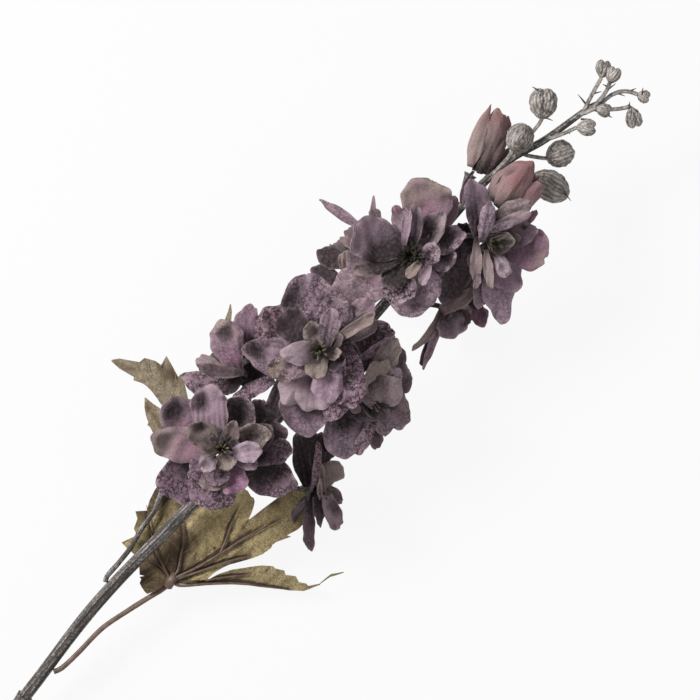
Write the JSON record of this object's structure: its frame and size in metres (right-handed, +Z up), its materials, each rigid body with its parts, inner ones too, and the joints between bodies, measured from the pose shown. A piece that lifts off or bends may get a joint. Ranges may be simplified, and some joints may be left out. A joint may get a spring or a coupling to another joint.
{
  "type": "artificial delphinium flower spike",
  "caption": "Artificial delphinium spray lying flat: a slender stem with serrated leaves, mauve double blooms, opening buds and small closed buds at its tip.",
  "frame": {"origin": "centre of the bounding box's bottom face, on the surface that the spray lies on", "axes": "+X along the stem towards the tip bud, +Y to the stem's left, +Z up, away from the surface"},
  "size_m": [0.4804, 0.139, 0.081],
  "materials": {
    "stem_plastic": "moulded matt plastic over wire, antiqued dark grey-brown with pale rubbed ridges",
    "petal_fabric": "die-cut, heat-embossed polyester petal fabric, dusty mauve with dark veining and plum-brown backs",
    "inner_petal_fabric": "small embossed inner petals, grey-mauve to grey-green",
    "stamen_plastic": "moulded stamen bundle, dark olive-brown with pale tips",
    "leaf_fabric": "printed leaf fabric, olive with brown blotches",
    "rib_plastic": "moulded brown ribs",
    "bud_plastic": "moulded grey-green buds with a pale wash on their ridges",
    "bud_petal_fabric": "folded pink-brown petals with a beige-olive foot"
  },
  "bodies": {
    "root": {"lower_stem": "stem_plastic", "main_stem": "stem_plastic", "leaf_stalk_right": "stem_plastic", "leaf_blade_right": "leaf_fabric", "leaf_ribs_right": "rib_plastic", "leaf_stalk_left": "stem_plastic", "leaf_blade_left": "leaf_fabric", "leaf_ribs_left": "rib_plastic", "bloom_1_stalk": "stem_plastic", "bloom_1_outer_petals": "petal_fabric", "bloom_1_inner_petals": "inner_petal_fabric", "bloom_1_centre": "stamen_plastic", "bloom_2_stalk": "stem_plastic", "bloom_2_outer_petals": "petal_fabric", "bloom_2_inner_petals": "inner_petal_fabric", "bloom_2_centre": "stamen_plastic", "bloom_3_stalk": "stem_plastic", "bloom_3_outer_petals": "petal_fabric", "bloom_3_inner_petals": "inner_petal_fabric", "bloom_3_centre": "stamen_plastic", "bloom_4_stalk": "stem_plastic", "bloom_4_outer_petals": "petal_fabric", "bloom_4_inner_petals": "inner_petal_fabric", "bloom_4_centre": "stamen_plastic", "bloom_5_stalk": "stem_plastic", "bloom_5_outer_petals": "petal_fabric", "bloom_5_inner_petals": "inner_petal_fabric", "bloom_5_centre": "stamen_plastic", "bloom_6_stalk": "stem_plastic", "bloom_6_outer_petals": "petal_fabric", "bloom_6_inner_petals": "inner_petal_fabric", "bloom_6_centre": "stamen_plastic", "bloom_7_stalk": "stem_plastic", "bloom_7_outer_petals": "petal_fabric", "bloom_7_inner_petals": "inner_petal_fabric", "bloom_7_centre": "stamen_plastic", "bloom_8_stalk": "stem_plastic", "bloom_8_outer_petals": "petal_fabric", "bloom_8_inner_petals": "inner_petal_fabric", "bloom_8_centre": "stamen_plastic", "bloom_9_stalk": "stem_plastic", "bloom_9_outer_petals": "petal_fabric", "bloom_9_inner_petals": "inner_petal_fabric", "bloom_9_centre": "stamen_plastic", "opening_bud_left_stalk": "stem_plastic", "opening_bud_left_petals": "bud_petal_fabric", "opening_bud_front_stalk": "stem_plastic", "opening_bud_front_petals": "bud_petal_fabric", "bud_01": "bud_plastic", "bud_02": "bud_plastic", "bud_03": "bud_plastic", "bud_04": "bud_plastic", "bud_05": "bud_plastic", "bud_06": "bud_plastic", "bud_07": "bud_plastic", "bud_08": "bud_plastic", "bud_09": "bud_plastic", "bud_10": "bud_plastic"}
  },
  "joints": []
}
